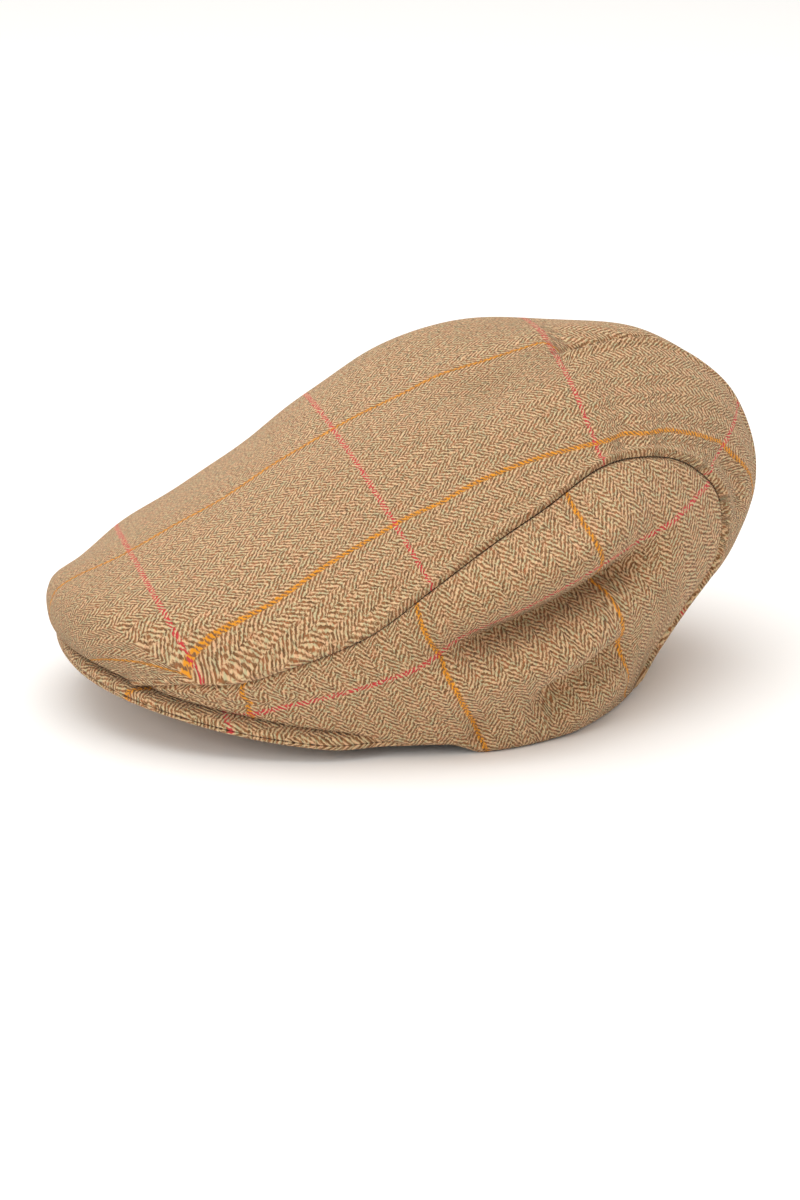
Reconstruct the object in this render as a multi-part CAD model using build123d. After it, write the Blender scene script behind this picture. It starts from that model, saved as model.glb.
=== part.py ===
from build123d import *
import os
from math import atan2, cos, hypot, pi, radians, sin, sqrt

# A three-panel flat cap in tweed, lying on its hem. Millimetres, +Z up, the peak towards -Y and
# the wearer's left towards +X. The origin is under the middle of the cap, on the table.

# Head opening, measured over the outside of the turned hem
opening_width = 169.0
opening_length = 184.0

# Crown
lip_reach = 47.5  # how far the front lip stands in front of the opening
back_overhang = 41.5  # how far the crown hangs out behind the opening
side_bulge = 8.5  # how far each side stands out past the opening
crown_height = 125.0
tweed = 1.6
lining = 0.6
ply_gap = 0.3  # between two plies that lie against each other
seam_gap = 0.1  # between pieces that are sewn or bonded edge to edge or face to face
hem_step = 18.0  # length over which the hem comes down behind the peak's tips

# Peak
peak_arch = 22.0  # rise of its middle over its two tips
peak_setback = 4.5  # how far its rim stays behind the crown's lip
peak_fullness = 2.25  # squareness of its rim: 2 is an ellipse
peak_tip_forward = 16.0  # from the middle of the opening forward to the tips
cover_cloth = 1.2
board = 1.8
board_inset = 2.5
peak_band_gap = 0.6  # from the peak's inner edge to the band
facing_gap = 2.4  # from the peak's top to the crown's facing over it
facing = 1.2
facing_clearance = 0.4  # from the facing's rim to the lining inside the lip

# Band round the opening
band_lift = 0.6
tape_height = 26.0
tape = 0.8
sweatband_height = 34.0
sweatband = 1.2

# Press stud that holds the lip down on the peak
stud_radius = 4.5
socket_height = 1.4
socket_hole_radius = 2.1
socket_floor = 0.3
ball_radius = 1.6
ball_drop = 1.1
ball_plate = 0.6
stud_from_lip = 21.0

# Labels
label = 0.4
size_label_width = 22.0
size_label_height = 12.0
size_label_low = 12.0
care_label_width = 24.0
care_label_height = 30.0
care_label_low = 26.0
care_label_x = 34.0  # its middle, to the wearer's left

# Places that follow from the sizes
half_opening = opening_width / 2
cap_length = lip_reach + opening_length + back_overhang
lip_y = -cap_length / 2
front_y = lip_y + lip_reach
back_y = front_y + opening_length
wide_y = (front_y + back_y) / 2
tail_y = back_y + back_overhang
half_cap = half_opening + side_bulge
peak_tip_y = wide_y - peak_tip_forward
peak_rim_y = lip_y + peak_setback
peak_radius = (half_opening**2 + peak_arch**2) / (2 * peak_arch)
peak_thickness = 2 * cover_cloth + board + 2 * seam_gap
facing_level = peak_thickness + facing_gap
lining_face = tweed + ply_gap
tape_face = lining_face + lining + ply_gap
band_face = tape_face + tape + ply_gap
reach = 2 * cap_length  # longer than anything that it cuts


def arch_height(x, level):
    """Height of the peak's curve at x, level above its underside."""
    return peak_arch - peak_radius + sqrt((peak_radius + level) ** 2 - x * x)


# The crown's outside: closed rings from the hem up to the top. Each is half a width, its front
# and back in Y, its front and back heights, and the Y of its widest place.
rings = [
    (half_opening, lip_y + 3, back_y, 0, 0, wide_y),
    (
        half_cap - 0.22 * side_bulge,
        lip_y + 0.3,
        back_y + 0.32 * back_overhang,
        arch_height(0, facing_level) + 0.04 * crown_height,
        0.17 * crown_height,
        wide_y,
    ),
]
# The upper rings in shares: of half the width, of the length back from the lip for front, back
# and widest place, and of the height for front and back.
upper_rings = [
    (1.00, 0.000, 0.980, 0.335, 0.40, 0.511),
    (0.95, 0.022, 1.000, 0.390, 0.60, 0.511),
    (0.83, 0.100, 0.980, 0.465, 0.80, 0.511),
    (0.65, 0.220, 0.930, 0.600, 0.915, 0.521),
    (0.41, 0.370, 0.850, 0.780, 0.980, 0.561),
    (0.17, 0.550, 0.780, 0.930, 1.000, 0.641),
    (0.00, 0.700, 0.700, 1.000, 1.000, 0.700),
]
for wide, start, end, front_up, back_up, middle in upper_rings:
    y_front = lip_y + start * cap_length
    y_back = lip_y + end * cap_length
    y_wide = lip_y + middle * cap_length
    heights = (front_up * crown_height, back_up * crown_height)
    rings.append((wide * half_cap, y_front, y_back, *heights, y_wide))

# The left side seam on the crown: degrees round from the wearer's left, and share of the way up.
# It starts and ends just clear of the hem, so that a side panel has no knife-sharp corner.
seam = [
    (-54, 0.012),
    (-34, 0.095),
    (-18, 0.245),
    (-5, 0.415),
    (14, 0.585),
    (30, 0.63),
    (43, 0.51),
    (50, 0.38),
    (53, 0.205),
    (54, 0.012),
]
seam_steps = 16
cross_steps = 14
side_steps = 7


def spline(p0, p1, p2, p3, f):
    """A point between p1 and p2 on the smooth curve through all four."""
    point = []
    for a, b, c, d in zip(p0, p1, p2, p3):
        cubic = (3 * b - a - 3 * c + d) * f**3
        square = (2 * a - 5 * b + 4 * c - d) * f**2
        point.append((2 * b + (c - a) * f + square + cubic) / 2)
    return tuple(point)


def ring_point(ring, turn):
    half_width, y_front, y_back, z_front, z_back, y_wide = rings[ring]
    x = half_width * cos(turn)
    run = (y_back - y_wide) if sin(turn) > 0 else (y_wide - y_front)
    y = y_wide + run * sin(turn)
    if ring == 0:
        share = min(1, max(0, (peak_tip_y + hem_step - y) / hem_step))
        z = share**2 * (3 - 2 * share) * arch_height(x, facing_level)
    else:
        z = z_front + (z_back - z_front) * (y - y_front) / max(y_back - y_front, 1)
    return (x, y, z)


def crown_point(p, q):
    """The crown's outside over a flat round map: its rim is the hem and its middle the top."""
    turn = atan2(q, p)
    steps = (1 - min(1, hypot(p, q))) * (len(rings) - 1)
    ring = min(len(rings) - 2, int(steps))
    low = ring_point(ring, turn)
    high = ring_point(ring + 1, turn)
    if ring:
        under = ring_point(ring - 1, turn)
    else:
        under = tuple(2 * a - b for a, b in zip(low, high))
    if ring + 2 < len(rings):
        over = ring_point(ring + 2, turn)
    else:
        over = ring_point(ring, turn + pi)
    return Vector(*spline(under, low, high, over, steps - ring))


def inner_point(p, q, inset):
    """The point of the crown at (p, q), moved in by inset along the surface's normal."""
    step = 0.004
    keep = min(1, (1 - step * 1.5) / max(hypot(p, q), step))
    a, b = p * keep, q * keep
    along = crown_point(a + step, b) - crown_point(a - step, b)
    across = crown_point(a, b + step) - crown_point(a, b - step)
    return crown_point(p, q) - along.cross(across).normalized() * inset


def on_map(turn, share):
    return ((1 - share) * cos(radians(turn)), (1 - share) * sin(radians(turn)))


def seam_map(share, shift, side):
    """A side seam on the map, from the front (0) to the back (1), moved in by shift."""
    points = [on_map(*point) for point in seam]
    steps = share * (len(points) - 1)
    i = min(len(points) - 2, int(steps))
    before = points[i - 1] if i else points[0]
    after = points[i + 2] if i + 2 < len(points) else points[-1]
    p, q = spline(before, points[i], points[i + 1], after, steps - i)
    return (side * (p - shift), q)


def blend(a, b, share):
    return tuple(u + (v - u) * share for u, v in zip(a, b))


def side_map(u, v, side, shift):
    """A side panel on the map: u from its front to its back, v from the hem up to the seam."""
    p, q = on_map(seam[0][0] + (seam[-1][0] - seam[0][0]) * u, 0)
    return blend((side * p, q), seam_map(u, -shift, side), v)


def top_map(u, v, shift):
    """The top panel on the map: u from right to left, v from the front lip to the back hem."""
    off = 2 * u - 1
    lip = on_map(off * (90 + seam[0][0]) - 90, seam[0][1] * off**8)
    hem = on_map(90 - off * (90 - seam[-1][0]), seam[-1][1] * off**8)
    ends = [seam_map(w, 0, side) for w in (0, 1) for side in (-1, 1)]
    corners = blend(blend(ends[0], ends[1], u), blend(ends[2], ends[3], u), v)
    sides = blend(seam_map(v, shift, -1), seam_map(v, shift, 1), u)
    return tuple(a + b - c for a, b, c in zip(sides, blend(lip, hem, v), corners))


def ply(place, outer, inner, columns, rows):
    """A ply of cloth in flat facets: what place maps on the crown, from one inset to another."""
    top, bottom = {}, {}
    for i in range(columns + 1):
        for j in range(rows + 1):
            p, q = place(i / columns, j / rows)
            top[i, j] = inner_point(p, q, outer)
            bottom[i, j] = inner_point(p, q, inner)
            if outer == 0 and top[i, j].Z < seam_gap:
                bottom[i, j].Z = top[i, j].Z  # the hem lies flat on the table
    quads = []
    for i in range(columns):
        for j in range(rows):
            corners = [(i, j), (i + 1, j), (i + 1, j + 1), (i, j + 1)]
            quads.append([top[c] for c in corners])
            quads.append([bottom[c] for c in corners])
    rim = [(i, 0) for i in range(columns)] + [(columns, j) for j in range(rows)]
    rim += [(i, rows) for i in range(columns, 0, -1)] + [(0, j) for j in range(rows, 0, -1)]
    for a, b in zip(rim, rim[1:] + rim[:1]):
        quads.append([top[a], top[b], bottom[b], bottom[a]])
    faces = []
    for a, b, c, d in quads:
        for corners in ((a, b, c), (a, c, d)):
            faces.append(Face(Wire.make_polygon(corners, close=True)))
    return Solid(Shell(faces))


def three_panels(outer, inner):
    """One layer of the crown as its three panels: top, left side and right side."""
    shift = seam_gap / half_cap

    def top(u, v):
        return top_map(u, v, shift)

    def left(u, v):
        return side_map(u, v, 1, shift)

    def right(u, v):
        return side_map(u, v, -1, shift)

    panels = [ply(top, outer, inner, cross_steps, seam_steps)]
    panels += [ply(side, outer, inner, seam_steps, side_steps) for side in (left, right)]
    return panels


def slab(y_low, y_high, z_low, z_high, x_low=-reach, x_high=reach):
    size = (x_high - x_low, y_high - y_low, z_high - z_low)
    middle = ((x_high + x_low) / 2, (y_high + y_low) / 2, (z_high + z_low) / 2)
    return Pos(*middle) * Box(*size)


def arch(level, lift=0.0):
    """Everything under the peak's curve: a round bar along Y, level thicker, lift higher."""
    bar = Pos(0, peak_tip_y, peak_arch - peak_radius + lift) * Rot(90, 0, 0)
    return bar * Cylinder(peak_radius + level, reach, align=(Align.CENTER, Align.CENTER, Align.MIN))


def upright(wire):
    return Pos(0, 0, -crown_height) * extrude(Face(wire), 3 * crown_height, dir=(0, 0, 1))


def opening_bar(inset):
    """The opening's oval as a tall upright bar, drawn in by inset from the hem's outside."""
    oval = Pos(0, wide_y) * Ellipse(half_opening - inset, opening_length / 2 - inset)
    return upright(oval.wire())


def front_outline(half_width, y_front, fullness):
    """Half an oval from side to side round the front, closed by a straight line behind."""
    points = []
    steps = 24
    for i in range(steps + 1):
        turn = pi * i / steps
        out = abs(cos(turn)) ** (2 / fullness) * (1 if i < steps / 2 else -1)
        along = sin(turn) ** (2 / fullness) if 0 < i < steps else 0
        points.append(Vector(half_width * out, wide_y - (wide_y - y_front) * along))
    edges = [Edge.make_spline(points), Edge.make_line(points[-1], points[0])]
    return upright(Wire(edges))


def front_facing():
    """The crescent under the crown's overhang, from the lip back to the opening."""
    inside = lining_face + lining + facing_clearance
    plan = front_outline(half_opening - inside, rings[0][1] + inside, 2)
    plan -= opening_bar(tape_face - seam_gap)
    plan &= slab(-reach, peak_tip_y, -reach, reach)
    return (arch(facing_level + facing) - arch(facing_level)) & plan


def peak_layer(low, high, inset=0.0):
    """A ply of the peak, between two heights over its underside, drawn in at its edges."""
    plan = front_outline(half_opening - inset, peak_rim_y + inset, peak_fullness)
    plan -= opening_bar(tape_face - peak_band_gap - inset)
    plan &= slab(-reach, peak_tip_y - inset, -reach, reach)
    return (arch(high) - arch(low)) & plan


def band(outer, inner, height):
    """An upright band round the opening, its lower edge lifted over the peak in front."""
    ring = opening_bar(outer) - opening_bar(inner)
    back = ring & slab(peak_tip_y, reach, band_lift, band_lift + height)
    front = (ring & arch(band_lift, height)) - arch(band_lift)
    return back + front


def press_stud():
    """Ball half under the facing, socket half on the peak, snapped together without touching."""
    y = lip_y + stud_from_lip
    sag = peak_arch - arch_height(stud_radius, 0)
    up = (Align.CENTER, Align.CENTER, Align.MIN)
    down = (Align.CENTER, Align.CENTER, Align.MAX)
    seat = peak_arch + peak_thickness + seam_gap / 2
    plate_z = peak_arch + facing_level - sag - seam_gap / 2 - ball_plate
    socket = Cylinder(stud_radius, socket_height, align=up)
    socket -= Pos(0, 0, socket_floor) * Cylinder(socket_hole_radius, socket_height, align=up)
    ball = Cylinder(stud_radius, ball_plate, align=up) + Cylinder(ball_radius, ball_drop, align=down)
    return Pos(0, y, plate_z) * ball, Pos(0, y, seat) * socket


def tag(middle_x, width, low, height):
    """A blank woven tag sewn flat to the inside of the sweatband, at the back."""
    face = band_face + sweatband + seam_gap
    ring = opening_bar(face) - opening_bar(face + label)
    return ring & slab(wide_y, reach, low, low + height, middle_x - width / 2, middle_x + width / 2)


def build():
    parts = {}
    panels = three_panels(0, tweed)
    parts["top_panel"], parts["side_panel_left"], parts["side_panel_right"] = panels
    parts["front_facing"] = front_facing()
    panels = three_panels(lining_face, lining_face + lining)
    parts["lining_top"], parts["lining_side_left"], parts["lining_side_right"] = panels
    parts["headband_tape"] = band(tape_face, tape_face + tape, tape_height)
    parts["sweatband"] = band(band_face, band_face + sweatband, sweatband_height)

    board_level = cover_cloth + seam_gap
    over_board = board_level + board + seam_gap
    parts["visor_under_cover"] = peak_layer(0, cover_cloth)
    parts["visor_board"] = peak_layer(board_level, board_level + board, board_inset)
    pocket = peak_layer(0, over_board, board_inset - 2 * seam_gap)
    parts["visor_top_cover"] = peak_layer(board_level, over_board + cover_cloth) - pocket
    parts["stud_ball_half"], parts["stud_socket_half"] = press_stud()
    parts["size_label"] = tag(0, size_label_width, size_label_low, size_label_height)
    parts["care_label"] = tag(care_label_x, care_label_width, care_label_low, care_label_height)
    return parts


os.makedirs("parts", exist_ok=True)
for name, shape in build().items():
    export_step(shape.solids()[0], f"parts/{name}.step")
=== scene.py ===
from math import pi, radians

import bpy
import numpy as np
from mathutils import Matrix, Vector


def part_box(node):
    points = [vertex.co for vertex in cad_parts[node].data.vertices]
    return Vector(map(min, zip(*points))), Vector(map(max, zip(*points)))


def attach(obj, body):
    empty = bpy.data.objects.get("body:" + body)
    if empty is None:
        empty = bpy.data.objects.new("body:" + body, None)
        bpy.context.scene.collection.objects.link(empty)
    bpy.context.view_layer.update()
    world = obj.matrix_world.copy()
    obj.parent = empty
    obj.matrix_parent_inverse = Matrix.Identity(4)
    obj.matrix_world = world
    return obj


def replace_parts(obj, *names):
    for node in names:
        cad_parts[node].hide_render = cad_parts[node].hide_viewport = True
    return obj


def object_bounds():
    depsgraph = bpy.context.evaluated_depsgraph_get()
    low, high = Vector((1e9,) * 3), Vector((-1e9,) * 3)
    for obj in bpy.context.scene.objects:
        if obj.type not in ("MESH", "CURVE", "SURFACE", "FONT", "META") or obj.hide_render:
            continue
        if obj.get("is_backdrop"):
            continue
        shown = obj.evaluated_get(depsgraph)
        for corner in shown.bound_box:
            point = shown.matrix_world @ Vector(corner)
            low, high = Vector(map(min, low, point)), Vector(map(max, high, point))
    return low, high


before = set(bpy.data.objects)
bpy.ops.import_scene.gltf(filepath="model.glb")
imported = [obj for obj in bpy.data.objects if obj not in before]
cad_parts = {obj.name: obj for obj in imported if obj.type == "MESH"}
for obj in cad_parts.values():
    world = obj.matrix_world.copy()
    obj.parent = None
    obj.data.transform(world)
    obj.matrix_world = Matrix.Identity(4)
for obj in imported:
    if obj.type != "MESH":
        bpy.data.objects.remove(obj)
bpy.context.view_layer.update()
mm = 0.001

# The table: a plain matt white top, large enough to run out of sight. It isn't part of the cap.
bpy.ops.mesh.primitive_plane_add(size=6, location=(0, 0, 0))
table = bpy.context.object
table.name = "table"
table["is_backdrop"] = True


def linear(hex_colour):
    """The linear colour of an sRGB hex value such as "E8A33C"."""
    out = []
    for i in (0, 2, 4):
        value = int(hex_colour[i : i + 2], 16) / 255
        out.append(value / 12.92 if value < 0.04045 else ((value + 0.055) / 1.055) ** 2.4)
    return (*out, 1.0)


def new_material(name, **sockets):
    """A material with a Principled shader; sockets name its inputs and their values."""
    material = bpy.data.materials.new(name)
    material.use_nodes = True
    shader = material.node_tree.nodes["Principled BSDF"]
    for socket, value in sockets.items():
        shader.inputs[socket.replace("_", " ")].default_value = value
    return material, shader


def add_node(owner, kind, inputs, **settings):
    """A new node in a material or a node group. An input is given a value or a socket."""
    tree = owner.node_tree if isinstance(owner, bpy.types.Material) else owner
    node = tree.nodes.new(kind)
    for name, value in settings.items():
        setattr(node, name, value)
    for socket, value in inputs.items():
        if isinstance(value, bpy.types.NodeSocket):
            tree.links.new(value, node.inputs[socket])
        else:
            node.inputs[socket].default_value = value
    return node


table_paint, table_shader = new_material("table_matt_white_paint", Roughness=0.7)
table_shader.inputs["Base Color"].default_value = linear("FBFAF8")
table.data.materials.append(table_paint)

# Soft studio light: a white room, a large softbox overhead and a smaller one in front.
world = bpy.data.worlds.new("white_room")
bpy.context.scene.world = world
world.use_nodes = True
world.node_tree.nodes["Background"].inputs["Color"].default_value = linear("F4F2F0")
world.node_tree.nodes["Background"].inputs["Strength"].default_value = 0.86


def softbox(name, place, target, size, power):
    """A rectangular area light of a width and height in metres, aimed at a target."""
    light = bpy.data.lights.new(name, "AREA")
    light.shape = "RECTANGLE"
    light.size, light.size_y = size
    light.energy = power
    lamp = bpy.data.objects.new(name, light)
    bpy.context.collection.objects.link(lamp)
    lamp.location = place
    aim = Vector(target) - Vector(place)
    lamp.rotation_euler = aim.to_track_quat("-Z", "Y").to_euler()


softbox("overhead", (-0.1, -0.1, 1.6), (0, 0, 0), (2.0, 2.0), 20)
softbox("front_fill", (0.9, -1.5, 0.9), (0, 0, 0.05), (0.9, 0.9), 8)

# The camera stands off the wearer's left, a little in front, and looks down on the cap.
camera_data = bpy.data.cameras.new("camera")
camera_data.lens = 106.5
camera = bpy.data.objects.new("camera", camera_data)
bpy.context.collection.objects.link(camera)
camera.location = (1.2159, -0.3071, 0.4761)
look_down, look_round = 19.6, 76  # degrees
camera.rotation_euler = (radians(90 - look_down), 0, radians(look_round))
bpy.context.scene.camera = camera
bpy.context.scene.view_settings.view_transform = "Standard"

# ---------------------------------------------------------------------------------------------
# Crown. Three panels of tweed, cut flat and sewn together inside out: a top panel that runs from
# the front lip to the hem behind, with a dart up its middle there, and a side panel each side.
# The cloth is soft, so it hangs in folds. Sizes here are in mm.
low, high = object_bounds()
tape_low, tape_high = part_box("headband_tape")
tape_inset = 2.8
lip_y = low.y / mm
tail_y = high.y / mm
half_cap = high.x / mm
half_opening = tape_high.x / mm + tape_inset
back_y = tape_high.y / mm + tape_inset
front_y = tape_low.y / mm - tape_inset
wide_y = (front_y + back_y) / 2
tweed_thickness = 1.4

rings = np.array(
    [
        # half width, front y, back y, front z, back z, widest y
        (half_opening, lip_y + 3, back_y, 0, 0, wide_y),
        (half_cap - 1.9, lip_y + 0.5, back_y + 13.3, 33.8, 21.2, wide_y),
        (half_cap, lip_y + 0.6, tail_y - 5.5, 41.9, 50.0, wide_y),
        (half_cap - 4.6, lip_y + 6.0, tail_y, 48.7, 75.0, wide_y),
        (half_cap - 15.8, lip_y + 27.3, tail_y - 8.5, 58.1, 99.0, wide_y),
        (60.5, lip_y + 60.0, tail_y - 22.0, 75.0, 114.4, 5.7),
        (38.1, lip_y + 101.0, tail_y - 41.5, 97.5, 125.5, 16.7),
        (15.8, lip_y + 150.0, tail_y - 60.0, 117.0, 129.0, 38.5),
        (0.0, 54.6, 54.6, 128.5, 128.5, 54.6),
    ]
)
arch_rise, lip_level = 22.0, 6.8
hem_step, hem_foot_y = 13.0, 6.0  # the hem rises off the table in this step, where the peak begins
lip_drop, lip_drop_y, lip_drop_run = 3.6, -48, 30  # and hangs down over the peak's tips
arch_radius = (half_opening**2 + arch_rise**2) / (2 * arch_rise)


def arch_height(x, level):
    """Height of the peak's arch at x, level above its underside."""
    return arch_rise - arch_radius + np.sqrt((arch_radius + level) ** 2 - x * x)


def smooth(t):
    """A soft step from 0 to 1."""
    t = np.clip(t, 0, 1)
    return t * t * (3 - 2 * t)


def bump(t):
    """A soft rise and fall about 0."""
    return np.exp(-(t**2))


def spline(p0, p1, p2, p3, f):
    """A smooth curve through four points; f goes from 0 at p1 to 1 at p2."""
    f = f[..., None]
    cubic = (3 * p1 - p0 - 3 * p2 + p3) * f**3
    square = (2 * p0 - 5 * p1 + 4 * p2 - p3) * f**2
    return (2 * p1 + (p2 - p0) * f + square + cubic) / 2


slack_share, slack_turn, slack_width = 0.085, 56, 28


def slack(turn):
    """The cap has gone in a little at its left back quarter, where nothing fills it."""
    return 1 - slack_share * bump((np.degrees(turn) - slack_turn) / slack_width)


def ring_point(ring, turn):
    """A point of one of the rings, turn round from the wearer's left. Ring 0 is the hem."""
    half_width, y_front, y_back, z_front, z_back, y_wide = np.moveaxis(rings[ring], -1, 0)
    x = half_width * np.cos(turn) * slack(turn)
    run = np.where(np.sin(turn) > 0, y_back - y_wide, y_wide - y_front)
    y = y_wide + run * np.sin(turn) * slack(turn)
    share = smooth((hem_foot_y - y) / hem_step)
    level = lip_level - lip_drop * smooth((y - lip_drop_y) / lip_drop_run)
    z = z_front + (z_back - z_front) * (y - y_front) / np.maximum(y_back - y_front, 1)
    return np.stack([x, y, np.where(ring == 0, share * arch_height(x, level), z)], -1)


def slouch(points):
    """How the soft cloth stands: full on the wearer's right, lower at the front corner there."""
    x, y, z = points[..., 0], points[..., 1], points[..., 2]
    lift = 18.5 * smooth((15 - x) / 70) * bump((y - 16) / 60) * smooth((z - 35) / 55)
    lift -= 5 * smooth(-x / 40) * bump((y + 122) / 22) * smooth((z - 28) / 12)
    return points + np.stack([0 * x, 0 * x, lift], -1)


def crown_base(p, q):
    """The crown's smooth outside over a flat round map: its rim is the hem, its middle the top."""
    turn = np.arctan2(q, p)
    last = len(rings) - 1
    steps = (1 - np.minimum(1, np.hypot(p, q))) * last
    ring = np.minimum(last - 1, steps.astype(int))
    here, above = ring_point(ring, turn), ring_point(ring + 1, turn)
    below = ring_point(np.maximum(ring - 1, 0), turn)
    below = np.where((ring > 0)[..., None], below, 2 * here - above)
    past = ring_point(np.minimum(ring + 2, last), turn)
    past = np.where((ring + 2 > last)[..., None], ring_point(ring, turn + pi), past)
    return slouch(spline(below, here, above, past, steps - ring))


def crown_normal(p, q):
    """Which way the crown's smooth outside faces."""
    step = 0.006
    keep = np.minimum(1, (1 - step * 1.5) / np.maximum(np.hypot(p, q), step))
    a, b = p * keep, q * keep
    along = crown_base(a + step, b) - crown_base(a - step, b)
    across = crown_base(a, b + step) - crown_base(a, b - step)
    normal = np.cross(along, across)
    return normal / np.linalg.norm(normal, axis=-1, keepdims=True)


def near_line(a, b, points):
    """Distance from (a, b) to a line of points, and how far along it the nearest place is."""
    best = np.full(a.shape, 1e9)
    along = np.zeros(a.shape)
    count = len(points) - 1
    for i in range(count):
        (a0, b0), (a1, b1) = points[i], points[i + 1]
        length = (a1 - a0) ** 2 + (b1 - b0) ** 2
        t = np.clip(((a - a0) * (a1 - a0) + (b - b0) * (b1 - b0)) / length, 0, 1)
        gap = np.hypot(a - a0 - t * (a1 - a0), b - b0 - t * (b1 - b0))
        along = np.where(gap < best, (i + t) / count, along)
        best = np.minimum(gap, best)
    return best, along


# Folds in the cloth: the side of the cap that each is on, how far it stands out (+) or goes in
# (-), half its width, and the line that it follows, as y and z on the sides and x and z behind.
folds = [
    ("left", -15.0, 8.0, [(-27, 38), (10, 45), (36, 53), (60, 61), (84, 74)]),
    ("left", -4.0, 3.2, [(-22, 36), (12, 43), (36, 51), (58, 59), (76, 68)]),
    ("left", 5.5, 9.0, [(-15, 58), (20, 64), (50, 72), (76, 84)]),
    ("left", 5.0, 8.0, [(-25, 26), (5, 31), (34, 38), (66, 50)]),
    ("left", -7.5, 6.0, [(18, 13), (44, 23), (70, 34)]),
    ("left", 3.0, 7.0, [(30, 6), (52, 12), (70, 20)]),
    ("left", -3.5, 3.5, [(0, 2), (4, 9), (1, 18)]),
    ("right", -9.0, 9.0, [(-30, 40), (5, 50), (40, 50), (70, 58)]),
    ("right", 5.0, 11.0, [(-10, 64), (30, 70), (70, 76)]),
    ("right", -5.0, 7.0, [(20, 16), (45, 22), (75, 36)]),
    ("back", -3.0, 5.0, [(34, 92), (30, 76), (27, 60)]),
    ("back", -4.0, 7.0, [(-52, 70), (-30, 60), (-12, 62)]),
    ("back", -3.5, 6.0, [(-8, 26), (14, 30), (38, 24)]),
]
dents = [
    # middle x, y, z, how far in or out, radius
    (24, 26, 120, -3.5, 12),
    (8, 8, 118, 1.5, 12),
    (-30, -70, 75, -1.5, 26),
]


def crown(p, q):
    """The crown's outside with its folds and small unevenness."""
    base = crown_base(p, q)
    x, y, z = base[..., 0], base[..., 1], base[..., 2]
    push = 0.45 * np.sin(y / 11 + z / 17) * np.sin(z / 9 - x / 15)
    facing = {
        "left": smooth((x - 20) / 35),
        "right": smooth((-x - 20) / 35),
        "back": smooth((y - 78) / 25),
    }
    for side, depth, width, line in folds:
        gap, along = near_line(x if side == "back" else y, z, line)
        fade = smooth(np.minimum(along, 1 - along) * 3.5)
        push = push + depth * bump(gap / width) * fade * facing[side]
    for middle_x, middle_y, middle_z, depth, radius in dents:
        gap = np.sqrt((x - middle_x) ** 2 + (y - middle_y) ** 2 + (z - middle_z) ** 2)
        push = push + depth * bump(gap / radius)
    out = base + crown_normal(p, q) * push[..., None]
    out[..., 2] = np.maximum(out[..., 2], 0)
    return out


# A side seam on the map: degrees round from the wearer's left, and share of the way to the top.
seam = np.array(
    [
        (-57, 0.0),
        (-46, 0.08),
        (-35, 0.125),
        (-19, 0.27),
        (-7, 0.41),
        (12, 0.525),
        (28, 0.573),
        (42, 0.535),
        (53, 0.465),
        (59.5, 0.385),
        (60.5, 0.27),
        (59.5, 0.13),
        (59, 0.0),
    ]
)


def on_map(turn, share):
    """The place on the round map at a turn in degrees and a share of the way to the top."""
    turn = np.radians(turn)
    return np.stack([(1 - share) * np.cos(turn), (1 - share) * np.sin(turn)], -1)


def seam_map(share, side):
    """A side seam on the map, from its front end at 0 to its back end at 1."""
    points = on_map(seam[:, 0], seam[:, 1])
    steps = share * (len(points) - 1)
    i = np.minimum(len(points) - 2, steps.astype(int))
    before, after = points[np.maximum(i - 1, 0)], points[np.minimum(i + 2, len(points) - 1)]
    return spline(before, points[i], points[i + 1], after, steps - i) * (side, 1)


def side_map(u, v, side):
    """A side panel on the map: u from its front to its back, v from the hem up to the seam."""
    rim = on_map(seam[0, 0] + (seam[-1, 0] - seam[0, 0]) * u, 0.0 * u) * (side, 1)
    v = v[..., None]
    return rim * (1 - v) + seam_map(u, side) * v


def top_map(u, v):
    """The top panel on the map: u from right to left, v from the front lip to the back hem."""
    off = 2 * u - 1
    lip = on_map(off * (90 + seam[0, 0]) - 90, 0 * off)
    hem = on_map(90 - off * (90 - seam[-1, 0]), 0 * off)
    ends = [seam_map(np.array(w), side) for w in (0.0, 1.0) for side in (-1, 1)]
    u, w = u[..., None], v[..., None]
    corners = (ends[0] * (1 - u) + ends[1] * u) * (1 - w) + (ends[2] * (1 - u) + ends[3] * u) * w
    sides = seam_map(v, -1) * (1 - u) + seam_map(v, 1) * u
    return sides + lip * (1 - w) + hem * w - corners


def grid(across, along):
    return np.meshgrid(across, along, indexing="ij")


def crowded(count, places=1):
    """Places from 0 to 1, closer together at the ends and, with 2, in the middle as well."""
    t = np.linspace(0, 1, count)
    return t - 0.75 * np.sin(2 * pi * places * t) / (2 * pi * places)


def lengths(points, axis, middle):
    """Distance over the cloth from its middle line, along one of the grid's two directions."""
    points = np.moveaxis(points, axis, 0)
    steps = np.linalg.norm(np.diff(points, axis=0), axis=-1)
    run = np.concatenate([np.zeros((1, points.shape[1])), np.cumsum(steps, 0)])
    return np.moveaxis(run - run[middle], 0, axis)


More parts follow.
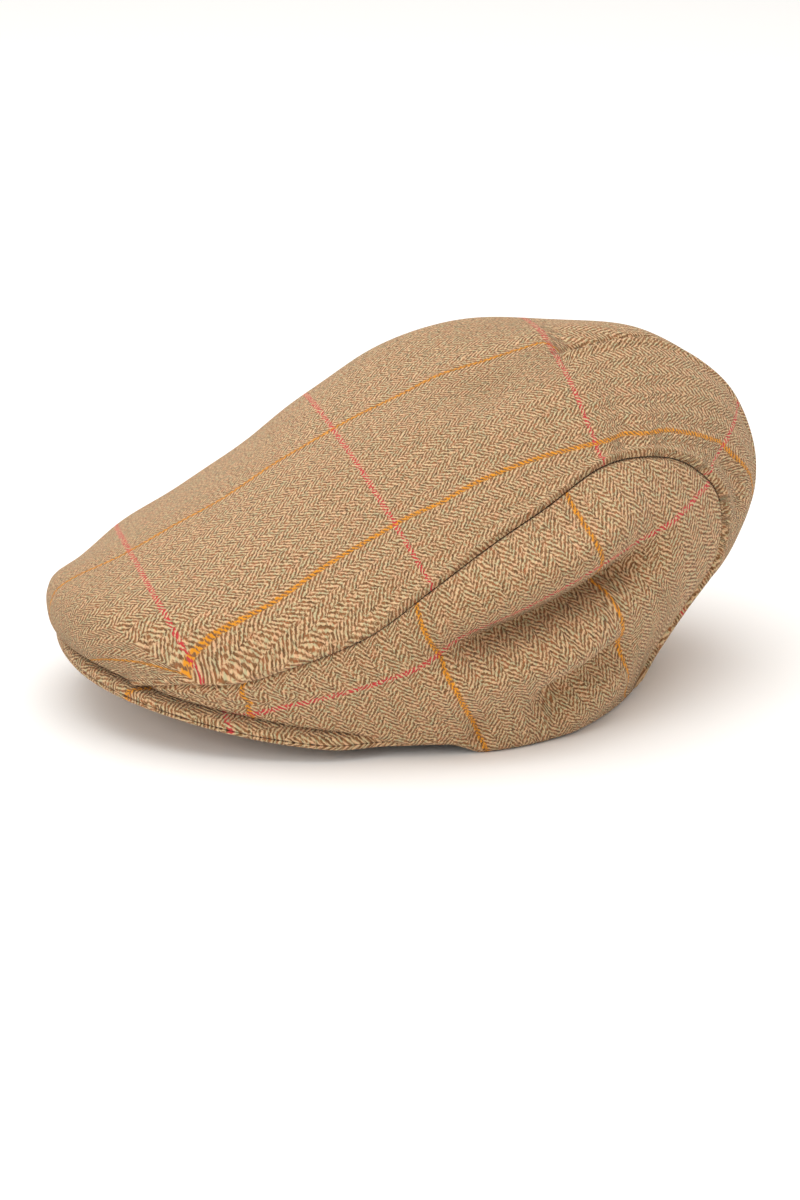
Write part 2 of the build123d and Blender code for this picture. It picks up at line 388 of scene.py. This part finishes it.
def cloth_grid(name, points, uv, thickness, material, flip=False, closed=False):
    """A ply of cloth from a grid of places on its outside, with its own flat map in metres."""
    columns, rows = points.shape[:2]
    corner = np.arange(columns * rows).reshape(columns, rows)
    quads = np.stack([corner[:-1, :-1], corner[1:, :-1], corner[1:, 1:], corner[:-1, 1:]], -1)
    quads = quads.reshape(-1, 4)[:, ::-1] if flip else quads.reshape(-1, 4)
    mesh = bpy.data.meshes.new(name)
    mesh.from_pydata((points.reshape(-1, 3) * mm).tolist(), [], quads.tolist())
    layer = mesh.uv_layers.new(name="cloth")
    index = np.zeros(len(mesh.loops), int)
    mesh.loops.foreach_get("vertex_index", index)
    layer.data.foreach_set("uv", (uv.reshape(-1, 2) * mm)[index].astype(np.float32).ravel())
    mesh.polygons.foreach_set("use_smooth", np.ones(len(mesh.polygons), bool))
    piece = bpy.data.objects.new(name, mesh)
    bpy.context.collection.objects.link(piece)
    if closed:
        piece.modifiers.new("closing_seam", "WELD").merge_threshold = 0.02 * mm
    thick = piece.modifiers.new("thickness", "SOLIDIFY")
    thick.thickness = thickness * mm
    thick.offset = -1
    return make_plain(piece, material)


def make_plain(piece, material):
    """Turn a piece and its modifiers into a plain mesh of one material."""
    bpy.context.view_layer.update()
    made = piece.evaluated_get(bpy.context.evaluated_depsgraph_get())
    plain = bpy.data.meshes.new_from_object(made)
    piece.modifiers.clear()
    piece.data = plain
    plain.materials.clear()
    plain.materials.append(material)
    return piece


def from_front(points):
    """Distance over the crown from its front lip, by the nearest place on its centre line."""
    q = np.linspace(-0.62, 0.995, 90)
    straight, before_lip = 60, 42  # the line carries on straight past its start
    centre = crown_base(0 * q, q)[:, 1:]
    start = centre[0] - straight * (centre[3] - centre[0]) / np.linalg.norm(centre[3] - centre[0])
    centre = np.concatenate([[start], centre])
    run = np.concatenate([[0], np.cumsum(np.linalg.norm(np.diff(centre, axis=0), axis=-1))])
    even = np.linspace(0, run[-1], 131)
    line = np.stack([np.interp(even, run, centre[:, 0]), np.interp(even, run, centre[:, 1])], -1)
    _, share = near_line(points[..., 1], points[..., 2], line)
    return share * run[-1] - before_lip


def plain_map(points):
    """A flat map by the distances over the cloth from its middle lines."""
    middle_column, middle_row = points.shape[0] // 2, points.shape[1] // 2
    return np.stack([lengths(points, 0, middle_column), lengths(points, 1, middle_row)], -1)


# Woollen tweed, woven in a herringbone: columns of slanting yarn that change direction at each
# column. The yarn mixes sage, tan and rust wool, so it looks flecked and dry. A yellow yarn runs
# lengthwise and a red one across. The twill is drawn a little coarser than it is, so it shows.
tweed, shader = new_material(
    "tweed_woollen_herringbone", Roughness=0.93, Sheen_Weight=0.12, Sheen_Roughness=0.6, IOR=1.45
)
shader.inputs["Specular IOR Level"].default_value = 0.2
cloth_map = add_node(tweed, "ShaderNodeUVMap", {}, uv_map="cloth").outputs[0]
to_mm = (1000, 1000, 1000)
in_mm = add_node(
    tweed, "ShaderNodeVectorMath", {0: cloth_map, 1: to_mm}, operation="MULTIPLY"
).outputs[0]
wobble = add_node(tweed, "ShaderNodeTexNoise", {"Vector": in_mm, "Scale": 0.5, "Detail": 2.0})
wobble = add_node(
    tweed,
    "ShaderNodeVectorMath",
    {0: wobble.outputs["Color"], 1: (1.5, 1.5, 0), 2: in_mm},
    operation="MULTIPLY_ADD",
).outputs[0]
parts = add_node(tweed, "ShaderNodeSeparateXYZ", {0: wobble}).outputs
column, twill_pitch, twill_slope = 4.3, 2.0, 1.15
slant = add_node(tweed, "ShaderNodeMath", {0: parts[0], 1: column}, operation="PINGPONG").outputs[0]
turned = add_node(
    tweed, "ShaderNodeMath", {0: parts[0], 1: 2 * column}, operation="FLOORED_MODULO"
).outputs[0]
turned = add_node(
    tweed, "ShaderNodeMath", {0: turned, 1: column}, operation="GREATER_THAN"
).outputs[0]
broken = add_node(
    tweed, "ShaderNodeMath", {0: turned, 1: twill_pitch / 2, 2: parts[1]}, operation="MULTIPLY_ADD"
).outputs[0]
twill = add_node(
    tweed, "ShaderNodeMath", {0: slant, 1: twill_slope, 2: broken}, operation="MULTIPLY_ADD"
).outputs[0]
twill = add_node(
    tweed, "ShaderNodeMath", {0: twill, 1: 2 * pi / twill_pitch}, operation="MULTIPLY"
).outputs[0]
twill = add_node(tweed, "ShaderNodeMath", {0: twill}, operation="SINE").outputs[0]
fuzz = add_node(
    tweed, "ShaderNodeTexNoise", {"Vector": in_mm, "Scale": 1.1, "Detail": 3.0, "Roughness": 0.6}
).outputs[0]
fuzzy_twill = add_node(
    tweed, "ShaderNodeMath", {0: fuzz, 1: 8.0, 2: twill}, operation="MULTIPLY_ADD"
).outputs[0]
light_yarn = add_node(
    tweed, "ShaderNodeMapRange", {0: fuzzy_twill, 1: 3.2, 2: 4.9}, interpolation_type="SMOOTHSTEP"
).outputs[0]
mottle = add_node(
    tweed, "ShaderNodeTexNoise", {"Vector": in_mm, "Scale": 0.42, "Detail": 3.0, "Roughness": 0.65}
).outputs[0]
brown_yarn = add_node(tweed, "ShaderNodeValToRGB", {0: mottle})
ramp = brown_yarn.color_ramp
ramp.elements[0].position, ramp.elements[0].color = 0.36, linear("6A4828")
ramp.elements[1].position, ramp.elements[1].color = 0.66, linear("9C5E36")
ramp.elements.new(0.52).color = linear("8D623B")
fleck = add_node(
    tweed,
    "ShaderNodeTexNoise",
    {"Vector": in_mm, "Scale": 0.8, "Detail": 2.0},
    noise_dimensions="4D",
)
fleck.inputs["W"].default_value = 3.0
pale_yarn = add_node(tweed, "ShaderNodeValToRGB", {0: fleck.outputs[0]})
ramp = pale_yarn.color_ramp
ramp.elements[0].position, ramp.elements[0].color = 0.36, linear("BDB289")
ramp.elements[1].position, ramp.elements[1].color = 0.64, linear("DEAE85")
ramp.elements.new(0.5).color = linear("DBBA8D")
wool = add_node(
    tweed,
    "ShaderNodeMix",
    {0: light_yarn, 6: brown_yarn.outputs[0], 7: pale_yarn.outputs[0]},
    data_type="RGBA",
).outputs[2]
check_yarns = (
    # axis, spacing, half width, colour, and how it follows the twill: times this, plus that
    (0, 68.0, 0.9, "E39420", 1.6, -5.5),
    (1, 86.5, 1.0, "C43A3A", -1.2, 5.4),
)
for axis, spacing, half_width, colour, showing, hidden in check_yarns:
    gap = add_node(
        tweed, "ShaderNodeMath", {0: parts[axis], 1: spacing / 2}, operation="PINGPONG"
    ).outputs[0]
    yarn = add_node(
        tweed, "ShaderNodeMapRange", {0: gap, 1: half_width + 0.25, 2: half_width - 0.25}
    ).outputs[0]
    over = add_node(
        tweed,
        "ShaderNodeMath",
        {0: fuzzy_twill, 1: showing, 2: hidden},
        operation="MULTIPLY_ADD",
        use_clamp=True,
    ).outputs[0]
    yarn = add_node(tweed, "ShaderNodeMath", {0: yarn, 1: over}, operation="MULTIPLY").outputs[0]
    wool = add_node(
        tweed, "ShaderNodeMix", {0: yarn, 6: wool, 7: linear(colour)}, data_type="RGBA"
    ).outputs[2]
tweed.node_tree.links.new(wool, shader.inputs["Base Color"])
raised = add_node(
    tweed, "ShaderNodeMath", {0: fuzz, 1: 2.0, 2: twill}, operation="MULTIPLY_ADD"
).outputs[0]
relief = add_node(
    tweed, "ShaderNodeBump", {"Height": raised, "Distance": 0.22 * mm, "Strength": 1.0}
)
tweed.node_tree.links.new(relief.outputs[0], shader.inputs["Normal"])

# The top panel, with its seam allowances pressed under it, so it stands in a roll along each
# side seam and along one side of the dart.
u, v = grid(crowded(170, 2), np.linspace(0, 1, 210))
place = top_map(u, v)
points, normals = crown(*np.moveaxis(place, -1, 0)), crown_normal(*np.moveaxis(place, -1, 0))
across = lengths(points * (1, 0, 1), 0, len(u) // 2)
over = lengths(points, 1, 0)
along = from_front(points)
from_seam = np.minimum(across - across[:1], across[-1:] - across)
from_lip, from_hem = over, over[:, -1:] - over
dart_top, dart_off_middle, dart_run = 214.0, 13, 60
below_dart_top = along - dart_top
from_dart = across - dart_off_middle * (1 - smooth(below_dart_top / dart_run))
in_dart = smooth(below_dart_top / 9)
roll_height = 1.3
roll = roll_height * bump((from_seam - 2.2) / 1.5) - 1.0 * bump(from_seam / 0.8)
dart_roll = roll_height * bump((from_dart - 2.6) / 1.8) - 1.5 * bump(from_dart / 1.1)
roll += in_dart * dart_roll
roll *= smooth(from_hem / 7)
roll -= 1.2 * bump(from_lip / 1.1) + 0.8 * bump(from_hem / 1.1)
points = points + normals * roll[..., None]
just_clear = 0.2
points[..., 2] = np.maximum(points[..., 2], just_clear)
top_points, top_normals = points, normals
seam_stitch_column = 11  # about 4 mm in from the seam
# The dart takes a wedge out of the cloth, which turns the weave towards it on both sides.
wedge = 0.22 * np.maximum(along - 150, 0) + 0.0009 * np.maximum(along - 200, 0) ** 2
above_dart = np.sign(across) * smooth(np.abs(across) / 35)
wedge *= in_dart * np.sign(from_dart) + (1 - in_dart) * above_dart
narrower = 1 + 0.5 * np.maximum(1 - along / 80, 0) ** 2
yellow_shift, red_shift = 6, 44.5  # where the check falls on the panel
cloth = np.stack([across * narrower + wedge - yellow_shift, along - red_shift], -1)
# Where the cloth turns down at the lip, the weave carries on square to the edge it turns over.
lip_turn = 30.0
edge = np.array([[np.interp(lip_turn, r, c[:, k]) for k in (0, 1)] for r, c in zip(over, cloth)])
ahead = np.gradient(edge, axis=0)
ahead = np.stack([np.convolve(np.pad(a, 5, "edge"), np.ones(11), "valid") for a in ahead.T], -1)
ahead /= np.linalg.norm(ahead, axis=-1, keepdims=True)
outward = np.stack([ahead[:, 1], -ahead[:, 0]], -1)[:, None]
turned_down = edge[:, None] + outward * (lip_turn - over)[..., None]
cloth = np.where((over < lip_turn)[..., None], turned_down, cloth)
top_panel = cloth_grid("top_panel_tweed", points, cloth, tweed_thickness, tweed)
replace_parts(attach(top_panel, "crown"), "top_panel")

# The side panels, cut with the cloth turned a quarter, so their yellow yarns stand nearly upright.
yellow_shift, red_shift = 5, 43
lean, rise = radians(24), radians(19.5)  # how the two yarns stand on the finished cap
least_climb = 0.6
for side, name in ((1, "left"), (-1, "right")):
    u, v = grid(np.linspace(0.002, 0.998, 140), crowded(64))
    place = side_map(u, v, side)
    points, normals = crown(*np.moveaxis(place, -1, 0)), crown_normal(*np.moveaxis(place, -1, 0))
    up = lengths(points, 1, 0)
    plan = points * (1, 1, 0)
    middle = len(u) // 2
    y, z = points[..., 1], points[..., 2]
    along = 0.5 * (y + y[middle] + lengths(plan, 0, middle))
    climb = np.maximum(np.diff(z, axis=1), least_climb * np.diff(up, axis=1))
    height = z[:, -1:] - np.concatenate([np.cumsum(climb[:, ::-1], 1)[:, ::-1], 0 * z[:, -1:]], 1)
    upright = along * np.cos(lean) + height * np.sin(lean) - yellow_shift
    level = height * np.cos(rise) - along * np.sin(rise) - red_shift
    roll = -1.6 * bump((up[:, -1:] - up) / 1.8) - 1.2 * bump(up / 1.1)
    points = points + normals * roll[..., None]
    cloth = np.stack([upright, level], -1)
    piece = cloth_grid(f"side_panel_{name}_tweed", points, cloth, tweed_thickness, tweed, side < 0)
    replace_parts(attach(piece, "crown"), f"side_panel_{name}")

# Stitches. The panels are closed with a lockstitch in tan cotton thread, which shows as a row of
# short sunk dashes beside each seam's roll. Each stitch is a long bead set along its row.
thread, thread_shader = new_material("thread_spun_cotton", Roughness=0.8, Sheen_Weight=0.2)
strand = add_node(thread, "ShaderNodeTexCoord", {}).outputs["Object"]
strand = add_node(
    thread, "ShaderNodeTexNoise", {"Vector": strand, "Scale": 2500.0, "Detail": 2.0}
).outputs[0]
strand_colour = add_node(
    thread, "ShaderNodeMix", {0: strand, 6: linear("80603E"), 7: linear("A9875C")}, data_type="RGBA"
).outputs[2]
thread.node_tree.links.new(strand_colour, thread_shader.inputs["Base Color"])

stitching = bpy.data.node_groups.new("row_of_stitches", "GeometryNodeTree")
stitching.interface.new_socket("Geometry", in_out="INPUT", socket_type="NodeSocketGeometry")
for name in ("Pitch", "Stitch length", "Thread width"):
    stitching.interface.new_socket(name, in_out="INPUT", socket_type="NodeSocketFloat")
stitching.interface.new_socket("Thread", in_out="INPUT", socket_type="NodeSocketMaterial")
stitching.interface.new_socket("Geometry", in_out="OUTPUT", socket_type="NodeSocketGeometry")
given = add_node(stitching, "NodeGroupInput", {}).outputs
row = add_node(stitching, "GeometryNodeMeshToCurve", {0: given["Geometry"]}).outputs[0]
row = add_node(
    stitching, "GeometryNodeResampleCurve", {"Curve": row, "Length": given["Pitch"]}, mode="LENGTH"
).outputs[0]
heading = add_node(stitching, "GeometryNodeInputTangent", {}).outputs[0]
facing_out = add_node(
    stitching, "GeometryNodeInputNamedAttribute", {"Name": "outward"}, data_type="FLOAT_VECTOR"
).outputs[0]
turned_along = add_node(
    stitching, "FunctionNodeAlignRotationToVector", {"Vector": heading}, axis="X"
).outputs[0]
turned_out = add_node(
    stitching,
    "FunctionNodeAlignRotationToVector",
    {"Rotation": turned_along, "Vector": facing_out},
    axis="Z",
    pivot_axis="X",
).outputs[0]
size = add_node(
    stitching,
    "ShaderNodeCombineXYZ",
    {0: given["Stitch length"], 1: given["Thread width"], 2: given["Thread width"]},
).outputs[0]
bead = add_node(
    stitching, "GeometryNodeMeshUVSphere", {"Segments": 8, "Rings": 5, "Radius": 0.5}
).outputs[0]
rows_of = add_node(
    stitching,
    "GeometryNodeInstanceOnPoints",
    {"Points": row, "Instance": bead, "Rotation": turned_out, "Scale": size},
).outputs[0]
real = add_node(stitching, "GeometryNodeRealizeInstances", {0: rows_of}).outputs[0]
real = add_node(
    stitching, "GeometryNodeSetMaterial", {0: real, "Material": given["Thread"]}
).outputs[0]
add_node(stitching, "NodeGroupOutput", {0: real})


def stitch_rows(name, lines, pitch, length, width):
    """Rows of stitches along lines of places, each with the direction that faces outwards."""
    mesh = bpy.data.meshes.new(name)
    places = np.concatenate([line[0] for line in lines])
    outward = np.concatenate([line[1] for line in lines])
    edges, start = [], 0
    for line in lines:
        edges += [(start + i, start + i + 1) for i in range(len(line[0]) - 1)]
        start += len(line[0])
    mesh.from_pydata((places * mm).tolist(), edges, [])
    mesh.attributes.new("outward", "FLOAT_VECTOR", "POINT").data.foreach_set(
        "vector", outward.astype(np.float32).ravel()
    )
    piece = bpy.data.objects.new(name, mesh)
    bpy.context.collection.objects.link(piece)
    rows = piece.modifiers.new("stitches", "NODES")
    rows.node_group = stitching
    values = {
        "Pitch": pitch * mm,
        "Stitch length": length * mm,
        "Thread width": width * mm,
        "Thread": thread,
    }
    for item in stitching.interface.items_tree:
        if item.item_type == "SOCKET" and item.in_out == "INPUT" and item.name in values:
            rows[item.identifier] = values[item.name]
    return make_plain(piece, thread)


seam_lines, off_table = [], 2.0
for column in (seam_stitch_column, -1 - seam_stitch_column):
    line = top_points[column] - top_normals[column] * 0.1
    kept = line[:, 2] > off_table
    seam_lines.append((line[kept], top_normals[column][kept]))
seam_stitches = stitch_rows("seam_stitches_cotton", seam_lines, 3.0, 2.2, 0.45)
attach(seam_stitches, "crown")

# ---------------------------------------------------------------------------------------------
# Front facing. A crescent of the same tweed under the crown's overhang, from the lip back to the
# head opening. It is sewn inside the lip and carries the upper half of the press stud.
facing_level = lip_level + 0.2
lip_inset, band_inset = 2.3, 3.0


def front_oval(turn, front, inset):
    """A line round the front of the cap from above, set in from its outline."""
    x = (half_opening - inset) * np.cos(turn)
    return np.stack([x, wide_y - (wide_y - front - inset) * np.sin(turn)], -1)


turn, back = grid(radians(10) + np.linspace(0, 1, 120) * radians(160), np.linspace(0, 1, 22))
inner_turn = radians(11) + (turn - radians(10)) * 158 / 160
lip_edge = front_oval(turn, lip_y + 3, lip_inset)
opening_edge = front_oval(inner_turn, front_y, band_inset)
plan = lip_edge * (1 - back[..., None]) + opening_edge * back[..., None]
height = arch_height(plan[..., 0], facing_level)
points = np.concatenate([plan, height[..., None]], -1)
front_cloth_shift = (-47, 83)  # where the check falls on the facing and the peak
cloth = plan + front_cloth_shift
facing = cloth_grid("front_facing_tweed", points, cloth, -1.0, tweed, True)
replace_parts(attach(facing, "crown"), "front_facing")

# ---------------------------------------------------------------------------------------------
# Lining. Three panels of satin-woven viscose, cut like the tweed and lapped at their seams. It
# is smooth and close woven, so it has a soft shine along its threads.
lining_face, lining_thickness, lap = 1.9, 0.5, 0.7
satin, satin_shader = new_material(
    "lining_satin_woven_viscose", Roughness=0.42, Anisotropic=0.4, Sheen_Weight=0.15, IOR=1.47
)
satin_map = add_node(satin, "ShaderNodeUVMap", {}, uv_map="cloth").outputs[0]
thread_count = 0.9  # mm from one drawn thread to the next
satin_mm = add_node(
    satin,
    "ShaderNodeVectorMath",
    {0: satin_map, 1: (1000 / thread_count, 250 / thread_count, 1)},
    operation="MULTIPLY",
).outputs[0]
threads = add_node(
    satin, "ShaderNodeTexNoise", {"Vector": satin_mm, "Scale": 1.0, "Detail": 3.0}
).outputs[0]
satin_colour = add_node(
    satin, "ShaderNodeMix", {0: threads, 6: linear("54402A"), 7: linear("7D6243")}, data_type="RGBA"
).outputs[2]
satin.node_tree.links.new(satin_colour, satin_shader.inputs["Base Color"])
satin_relief = add_node(
    satin, "ShaderNodeBump", {"Height": threads, "Distance": 0.05 * mm, "Strength": 0.6}
)
satin.node_tree.links.new(satin_relief.outputs[0], satin_shader.inputs["Normal"])

for name, side in (("lining_top", 0), ("lining_side_left", 1), ("lining_side_right", -1)):
    if side:
        u, v = grid(np.linspace(0.004, 0.996, 90), np.linspace(0.01, 1.02, 42))
        place = side_map(u, v, side)
    else:
        u, v = grid(np.linspace(-0.002, 1.002, 80), np.linspace(0.006, 0.994, 120))
        place = top_map(u, v)
    p, q = np.moveaxis(place, -1, 0)
    normals = crown_normal(p, q)
    depth = lining_face + (lap * smooth((v - 0.93) / 0.05) if side else 0 * v)
    points = crown(p, q) - normals * depth[..., None]
    piece = cloth_grid(
        name + "_satin", points, plain_map(points), lining_thickness, satin, side < 0
    )
    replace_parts(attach(piece, "crown"), name)
    size = {"flat": (0.11, 0.23), "area": 0.0155} if side else {"flat": (0.21, 0.40), "area": 0.062}

# ---------------------------------------------------------------------------------------------
# Headband tape and sweatband. A stiff cotton tape is sewn round the opening inside the lining,
# and a ribbed cotton band, 34 mm high, over it. Its lower edge follows the peak's arch in front.
band_lift, band_level, tip_lift, tip_lift_y = 0.6, 0.2, 4.2, -52


def band_point(turn, rise, inset):
    """A place on the bands round the opening, rise above the lower edge and inset from the hem."""
    x = (half_opening - inset) * np.cos(turn) * slack(turn)
    run = np.where(np.sin(turn) > 0, back_y - wide_y, wide_y - front_y) - inset
    y = wide_y + run * np.sin(turn) * slack(turn)
    level = band_level + tip_lift * smooth((y - tip_lift_y) / lip_drop_run)
    foot = smooth((hem_foot_y - y) / hem_step) * arch_height(x, level)
    return np.stack([x, y, band_lift + foot + rise], -1)


def woven_band(name, colours, rib, depth, roughness):
    """A band's material: ribs across its length, rib mm apart, its colour going between two shades
    of cotton by the relief, which is painted shade: darker in the rib hollows, lighter on the ribs.
    """
    material, shader = new_material(name, Roughness=roughness, Sheen_Weight=0.2)
    where = add_node(material, "ShaderNodeUVMap", {}, uv_map="cloth").outputs[0]
    where = add_node(
        material, "ShaderNodeVectorMath", {0: where, 1: (1000, 1000, 1)}, operation="MULTIPLY"
    ).outputs[0]
    run = add_node(material, "ShaderNodeSeparateXYZ", {0: where}).outputs[0]
    turns = add_node(
        material, "ShaderNodeMath", {0: run, 1: 2 * pi / rib}, operation="MULTIPLY"
    ).outputs[0]
    ribs = add_node(material, "ShaderNodeMath", {0: turns}, operation="SINE").outputs[0]
    fluff = add_node(
        material, "ShaderNodeTexNoise", {"Vector": where, "Scale": 1.3, "Detail": 3.0}
    ).outputs[0]
    height = add_node(
        material, "ShaderNodeMath", {0: fluff, 1: 1.2, 2: ribs}, operation="MULTIPLY_ADD"
    ).outputs[0]
    # Painted shade: the colour follows the relief, darker in the rib hollows and the dips of the
    # fluff, lighter on top of the ribs.
    painted_rib_shade = add_node(material, "ShaderNodeMapRange", {0: height, 1: -0.6, 2: 1.8}).outputs[0]
    painted_rib_shade = add_node(
        material,
        "ShaderNodeMix",
        {0: painted_rib_shade, 6: linear(colours[0]), 7: linear(colours[1])},
        data_type="RGBA",
    ).outputs[2]
    material.node_tree.links.new(painted_rib_shade, shader.inputs["Base Color"])
    relief = add_node(
        material, "ShaderNodeBump", {"Height": height, "Distance": depth * mm, "Strength": 0.8}
    )
    material.node_tree.links.new(relief.outputs[0], shader.inputs["Normal"])
    return material


tape_cotton = woven_band("tape_plain_woven_cotton", ("A3937A", "C9BCA3"), 0.9, 0.08, 0.85)
ribbed_cotton = woven_band("sweatband_ribbed_cotton", ("3E3022", "6A543C"), 1.4, 0.2, 0.8)
bands = (
    # name, CAD node, slot, height, outer face's inset, thickness, material
    ("headband_tape_woven", "headband_tape", "tape", 26.0, tape_inset, 0.8, tape_cotton),
    ("sweatband_ribbed", "sweatband", "sweatband", 34.0, 4.2, 1.1, ribbed_cotton),
)
for name, node, slot, band_height, inset, thickness, material in bands:
    turn, rise = grid(np.linspace(0, 2 * pi, 241) - pi / 2, crowded(18) * band_height)
    points = band_point(turn, rise, inset)
    points[-1] = points[0]
    piece = cloth_grid(name, points, plain_map(points), thickness, material, closed=True)
    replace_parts(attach(piece, "crown"), node)

edge_turn = np.linspace(0, 2 * pi, 361) - pi / 2
edge_line = band_point(edge_turn, 2.5 + 0 * edge_turn, 5.3)
inward = np.stack([-np.cos(edge_turn), -np.sin(edge_turn), 0 * edge_turn], -1)
band_stitches = stitch_rows("sweatband_stitches_cotton", [(edge_line, inward)], 3.2, 2.3, 0.5)
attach(band_stitches, "crown")

# Labels. Two small blank tags of white satin ribbon, sewn flat to the sweatband behind.
tag_inset, tag_thickness, band_radius = 5.45, 0.35, 86
ribbon = woven_band("label_woven_satin_ribbon", ("C9C3B6", "E2DDD2"), 0.5, 0.04, 0.5)
for name, node in (("size_label_ribbon", "size_label"), ("care_label_ribbon", "care_label")):
    tag_low, tag_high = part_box(node)
    tag_x = (tag_low.x + tag_high.x) / 2 / mm
    tag_width, tag_height = (tag_high.x - tag_low.x) / mm, (tag_high.z - tag_low.z) / mm
    middle = np.arccos(tag_x / (half_opening - 5))
    half_turn = tag_width / 2 / band_radius
    turn, rise = grid(
        middle + np.linspace(half_turn, -half_turn, 24), np.linspace(0, tag_height, 20)
    )
    points = band_point(turn, rise + tag_low.z / mm, tag_inset)
    piece = cloth_grid(name, points, plain_map(points), tag_thickness, ribbon, True)
    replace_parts(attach(piece, "crown"), node)

# ---------------------------------------------------------------------------------------------
# Peak. A crescent of plastic board between two tweed covers, sewn together round its rim and
# turned out, so the rim is a soft rounded edge. It is arched across, and its tips are thinner and
# tucked in behind the hem.
peak_low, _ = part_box("visor_top_cover")
peak_rim_y = peak_low.y / mm
peak_fullness, peak_level, covered_tip_y = 2.25, 4.4, -5.0
tip_tuck, tuck_y, tuck_run, peak_edge = 3.0, -52, 24, 4.0
rim_radius, cover_thickness = 2.0, 0.8


def peak_plan(across, out, inset=0.0):
    """The peak from above: across from one tip to the other, out from the opening to the rim.

    Gives x, y, the distance from the rim, and which way is out to it.
    """
    tip = (wide_y - covered_tip_y) / (wide_y - peak_rim_y - inset)
    low_turn = np.arcsin(tip ** (peak_fullness / 2))
    turn = low_turn + (pi - 2 * low_turn) * across
    cosine, sine = np.cos(turn), np.sin(turn)
    rim_y = wide_y - (wide_y - peak_rim_y - inset) * sine ** (2 / peak_fullness)
    rim_x = half_opening - inset - tip_tuck * smooth((rim_y - tuck_y) / tuck_run)
    rim_x *= np.sign(cosine) * np.abs(cosine) ** (2 / peak_fullness)
    edge = peak_edge + inset
    low_turn = np.arcsin((wide_y - covered_tip_y) / (wide_y - front_y - edge))
    turn = low_turn + (pi - 2 * low_turn) * across
    edge_x = (half_opening - edge) * np.cos(turn)
    edge_y = wide_y - (wide_y - front_y - edge) * np.sin(turn)
    x, y = edge_x + (rim_x - edge_x) * out, edge_y + (rim_y - edge_y) * out
    outward = np.stack([rim_x - edge_x, rim_y - edge_y], -1)
    outward /= np.maximum(np.linalg.norm(outward, axis=-1, keepdims=True), 0.1)
    return x, y, np.hypot(rim_x - x, rim_y - y), outward


def peak_faces(x):
    """Heights of the peak's underside and top."""
    thinner = smooth((np.abs(x) - 20) / 50)
    return arch_height(x, 0) + 2.7 * thinner, arch_height(x, peak_level) + 0.8 * thinner


across, out = grid(np.linspace(0, 1, 170), 1 - (1 - np.linspace(0, 1, 34)) ** 1.6)
x, y, from_rim, outward = peak_plan(across, out)
under, over = peak_faces(x)
middle = (under + over) / 2
rounding = np.sqrt(1 - (1 - np.clip(from_rim / rim_radius, 0, 1)) ** 2)
for name, face, flip in (("visor_top_cover", over, False), ("visor_under_cover", under, True)):
    nearly = 0.12 if face is over else -0.12
    points = np.stack([x, y, middle + nearly + (face - middle - nearly) * rounding], -1)
    fall = np.abs(face - points[..., 2])[..., None]
    cloth = points[..., :2] + front_cloth_shift + outward * fall
    piece = cloth_grid(name + "_tweed", points, cloth, cover_thickness, tweed, not flip)
    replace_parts(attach(piece, "visor"), name)

board, board_shader = new_material("board_moulded_polyethylene", Roughness=0.45, IOR=1.51)
grain = add_node(board, "ShaderNodeTexCoord", {}).outputs["Object"]
grain = add_node(
    board, "ShaderNodeTexNoise", {"Vector": grain, "Scale": 900.0, "Detail": 2.0}
).outputs[0]
board_colour = add_node(
    board, "ShaderNodeMix", {0: grain, 6: linear("DDDAD2"), 7: linear("EDEBE4")}, data_type="RGBA"
).outputs[2]
board.node_tree.links.new(board_colour, board_shader.inputs["Base Color"])
board_relief = add_node(
    board, "ShaderNodeBump", {"Height": grain, "Distance": 0.03 * mm, "Strength": 0.5}
)
board.node_tree.links.new(board_relief.outputs[0], board_shader.inputs["Normal"])
across, out = grid(np.linspace(0.01, 0.99, 90), np.linspace(0, 1, 10))
x, y, _, _ = peak_plan(across, out, 2.5)
under, over = peak_faces(x)
points = np.stack([x, y, over - 1.1], -1)
visor_board = cloth_grid("visor_board_moulded", points, plain_map(points), 1.2, board, True)
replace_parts(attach(visor_board, "visor"), "visor_board")

# ---------------------------------------------------------------------------------------------
# Press stud. Two pressed brass halves, antiqued brown: the ball half under the crown's facing and
# the socket half on the peak. Brass is a metal, so its colour is in its shine.
brass, brass_shader = new_material("stud_pressed_brass_antiqued", Metallic=1.0, Roughness=0.38)
worn = add_node(brass, "ShaderNodeTexCoord", {}).outputs["Object"]
worn = add_node(
    brass, "ShaderNodeTexNoise", {"Vector": worn, "Scale": 1400.0, "Detail": 4.0}
).outputs[0]
brass_colour = add_node(
    brass, "ShaderNodeMix", {0: worn, 6: linear("6B4D2C"), 7: linear("C09A5B")}, data_type="RGBA"
).outputs[2]
brass.node_tree.links.new(brass_colour, brass_shader.inputs["Base Color"])
for node in ("stud_ball_half", "stud_socket_half"):
    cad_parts[node].data.materials.clear()
    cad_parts[node].data.materials.append(brass)
